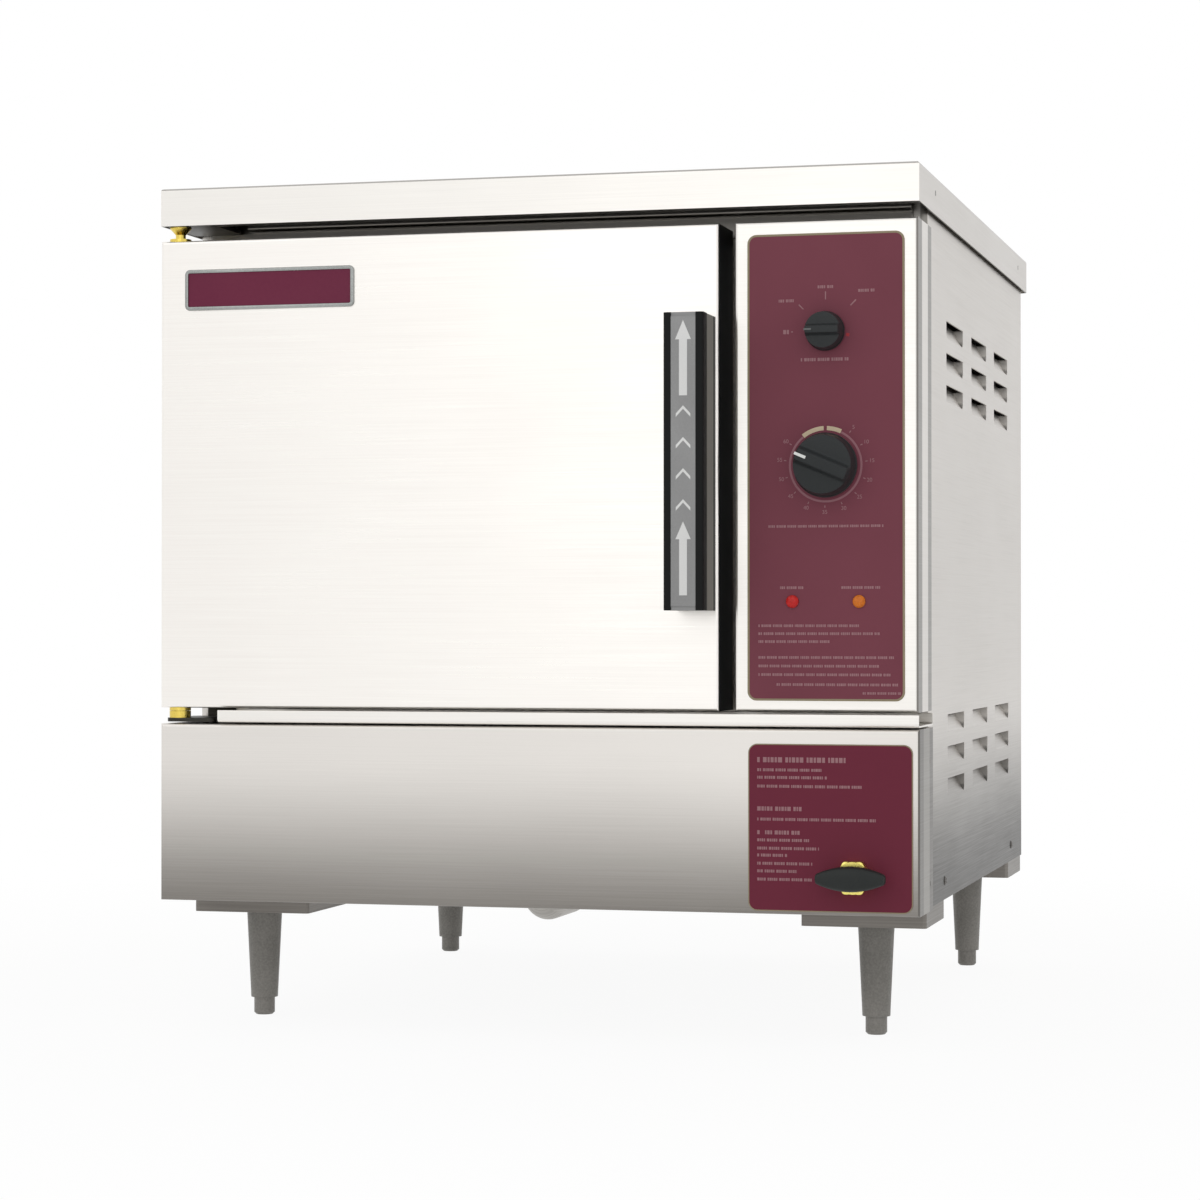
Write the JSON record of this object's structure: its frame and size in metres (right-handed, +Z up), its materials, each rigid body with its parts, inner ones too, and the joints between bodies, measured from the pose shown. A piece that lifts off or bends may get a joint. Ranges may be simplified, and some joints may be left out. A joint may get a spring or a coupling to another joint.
{
  "type": "countertop steamer",
  "caption": "Free-standing stainless countertop convection steamer with a side-hinged door, lift-up latch handle, control panel, front drain valve and screw feet on tapered legs.",
  "frame": {"origin": "middle of the footprint box at counter level, under the feet", "axes": "+X to the machine's right seen from the front, +Y to the back, +Z up"},
  "size_m": [0.61, 0.749, 0.669],
  "materials": {
    "stainless_steel": "fine brushed",
    "printed_overlay": "satin printed film",
    "brass": "machined",
    "mineral_wool": "fibrous",
    "painted_casting": "satin paint",
    "black_plastic": "moulded",
    "lamp_plastic": "moulded lens",
    "circuit_board": "lacquered",
    "grey_painted_steel": "satin",
    "silicone_rubber": "matt",
    "nameplate_plastic": "chromed rim",
    "grey_plastic": "satin"
  },
  "bodies": {
    "cabinet": {"base_pan": "stainless_steel", "front_frame": "stainless_steel", "left_side_panel": "stainless_steel", "right_side_panel": "stainless_steel", "rear_panel": "stainless_steel", "top_cover": "stainless_steel", "lower_front_panel": "stainless_steel", "control_panel": "stainless_steel", "drip_trough": "stainless_steel", "hinge_plates": "stainless_steel", "latch_strike": "stainless_steel", "door_switch": "stainless_steel", "cavity_liner": "stainless_steel", "pan_racks": "stainless_steel", "fan_baffle": "stainless_steel", "generator_tank": "stainless_steel", "generator_lid": "stainless_steel", "heating_elements": "stainless_steel", "level_probes": "stainless_steel", "steam_pipe": "stainless_steel", "cavity_drain": "stainless_steel", "panel_screws": "stainless_steel", "component_plate": "stainless_steel", "fill_tube": "stainless_steel", "drain_tubes": "stainless_steel", "front_overlays": "printed_overlay", "hinge_pins": "brass", "cavity_insulation": "mineral_wool", "fan_motor": "painted_casting", "water_inlet_valve": "brass", "drain_valve_body": "brass", "stem_gland_nut": "brass", "selector_switch": "black_plastic", "timer_mechanism": "painted_casting", "signal_lamps": "lamp_plastic", "control_board": "circuit_board", "contactor": "black_plastic", "cable_gland": "black_plastic", "leg_brackets": "grey_painted_steel", "legs": "grey_painted_steel"},
    "door": {"door_outer_panel": "stainless_steel", "door_liner": "stainless_steel", "door_insulation": "mineral_wool", "door_gasket": "silicone_rubber", "door_bushes": "brass", "nameplate": "nameplate_plastic", "handle_rail": "black_plastic", "latch_bracket": "stainless_steel"},
    "handle": {"handle_grip": "black_plastic", "handle_face_plate": "grey_plastic"},
    "latch": {"latch_hook": "stainless_steel"},
    "selector": {"selector_knob": "black_plastic"},
    "timer": {"timer_knob": "black_plastic"},
    "drain_valve": {"valve_handle": "black_plastic", "drain_valve_stem": "brass"},
    "fan": {"fan_wheel": "stainless_steel"},
    "foot_front_left": {"foot_front_left": "grey_painted_steel"},
    "foot_front_right": {"foot_front_right": "grey_painted_steel"},
    "foot_rear_left": {"foot_rear_left": "grey_painted_steel"},
    "foot_rear_right": {"foot_rear_right": "grey_painted_steel"}
  },
  "joints": [
    {"name": "door_hinge", "type": "hinge", "parent": "cabinet", "child": "door", "pos_m": [-0.293, -0.3175, 0.44085], "axis": [0, 0, -1], "range_deg": [0, 170]},
    {"name": "handle_lift", "type": "slide", "parent": "door", "child": "handle", "axis": [0, 0, 1], "range_m": [0, 0.012]},
    {"name": "latch_rock", "type": "hinge", "parent": "door", "child": "latch", "pos_m": [0.1335, -0.2995, 0.44285], "axis": [-1, 0, 0], "range_deg": [0, 27.1]},
    {"name": "selector_turn", "type": "hinge", "parent": "cabinet", "child": "selector", "pos_m": [0.23375, -0.3295, 0.5426], "axis": [0, 1, 0], "range_deg": [0, 135]},
    {"name": "timer_turn", "type": "hinge", "parent": "cabinet", "child": "timer", "pos_m": [0.23375, -0.3295, 0.4413], "axis": [0, 1, 0], "range_deg": [-280, 47]},
    {"name": "drain_valve_turn", "type": "hinge", "parent": "cabinet", "child": "drain_valve", "pos_m": [0.2555, -0.1195, 0.1305], "axis": [0, 1, 0], "range_deg": [0, 90]},
    {"name": "fan_spin", "type": "hinge", "parent": "cabinet", "child": "fan", "pos_m": [0.1, 0.019, 0.44], "axis": [1, 0, 0], "continuous": true},
    {"name": "foot_front_left_screw", "type": "slide", "parent": "cabinet", "child": "foot_front_left", "axis": [0, 0, -1], "range_m": [0, 0.025]},
    {"name": "foot_front_right_screw", "type": "slide", "parent": "cabinet", "child": "foot_front_right", "axis": [0, 0, -1], "range_m": [0, 0.025]},
    {"name": "foot_rear_left_screw", "type": "slide", "parent": "cabinet", "child": "foot_rear_left", "axis": [0, 0, -1], "range_m": [0, 0.025]},
    {"name": "foot_rear_right_screw", "type": "slide", "parent": "cabinet", "child": "foot_rear_right", "axis": [0, 0, -1], "range_m": [0, 0.025]}
  ],
  "couplings": [
    {"joint": "latch_rock", "follows": "handle_lift", "rad_per_m": 38.637}
  ]
}
